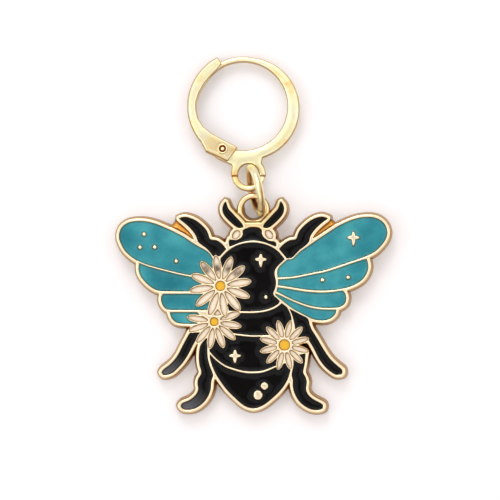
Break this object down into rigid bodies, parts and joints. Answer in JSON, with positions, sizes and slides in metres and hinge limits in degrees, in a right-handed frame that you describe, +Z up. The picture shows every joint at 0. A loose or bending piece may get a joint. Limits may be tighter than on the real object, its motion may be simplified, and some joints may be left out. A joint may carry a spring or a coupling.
{
  "type": "stitch marker",
  "caption": "Flat enamelled bee charm hung by an open jump ring from a round lever clasp that opens to hook onto a stitch.",
  "frame": {"origin": "on the table, under the middle of the part's box as it lies on its back", "axes": "+X to the charm's right as seen from above, +Y from the charm's tail to the top of the clasp, +Z up from the table"},
  "size_m": [0.0296, 0.0385, 0.0055],
  "materials": {
    "clasp_metal": "pale gold plate, polished",
    "charm_metal": "champagne gold plate over a casting, polished wall tops",
    "black_enamel": "glossy black enamel",
    "teal_enamel": "glossy translucent teal enamel, darker by the walls",
    "white_enamel": "thin cream enamel",
    "yellow_enamel": "warm yellow enamel"
  },
  "bodies": {
    "clasp": {"hoop": "clasp_metal"},
    "lever": {"lever": "clasp_metal", "lever_rivet": "clasp_metal"},
    "ring": {"jump_ring": "clasp_metal"},
    "charm": {"charm_plate": "charm_metal", "left_wing_enamel_1": "teal_enamel", "left_wing_enamel_2": "teal_enamel", "left_wing_enamel_3": "teal_enamel", "left_wing_enamel_4": "teal_enamel", "right_wing_enamel_1": "teal_enamel", "right_wing_enamel_2": "teal_enamel", "right_wing_enamel_3": "teal_enamel", "right_wing_enamel_4": "teal_enamel", "thorax_enamel": "black_enamel", "upper_abdomen_enamel": "black_enamel", "middle_abdomen_enamel": "black_enamel", "abdomen_tip_enamel": "black_enamel", "head_enamel": "black_enamel", "left_antenna_enamel": "black_enamel", "right_antenna_enamel": "black_enamel", "left_foreleg_enamel": "black_enamel", "right_foreleg_enamel": "black_enamel", "left_middle_leg_enamel": "black_enamel", "right_middle_leg_enamel": "black_enamel", "left_hind_leg_enamel": "black_enamel", "right_hind_leg_enamel": "black_enamel", "left_eye_enamel": "white_enamel", "right_eye_enamel": "white_enamel", "upper_daisy_petals": "white_enamel", "left_daisy_petals": "white_enamel", "right_daisy_petals": "white_enamel", "upper_daisy_centre": "yellow_enamel", "left_daisy_centre": "yellow_enamel", "right_daisy_centre": "yellow_enamel"}
  },
  "joints": [
    {"name": "lever_hinge", "type": "hinge", "parent": "clasp", "child": "lever", "pos_m": [-0.00328, 0.00918, 0.00115], "axis": [0, 0.0252, 0.9997], "range_deg": [0, 60]},
    {"name": "ring_turn", "type": "hinge", "parent": "clasp", "child": "ring", "pos_m": [0.00028, 0.00467, 0.00275], "axis": [-0.9538, -0.2167, 0.2079], "range_deg": [0, 150]},
    {"name": "charm_sway", "type": "hinge", "parent": "ring", "child": "charm", "pos_m": [0.00003, 0.00267, 0.00145], "axis": [0, -0.0295, 0.9996], "range_deg": [-18, 18]}
  ]
}
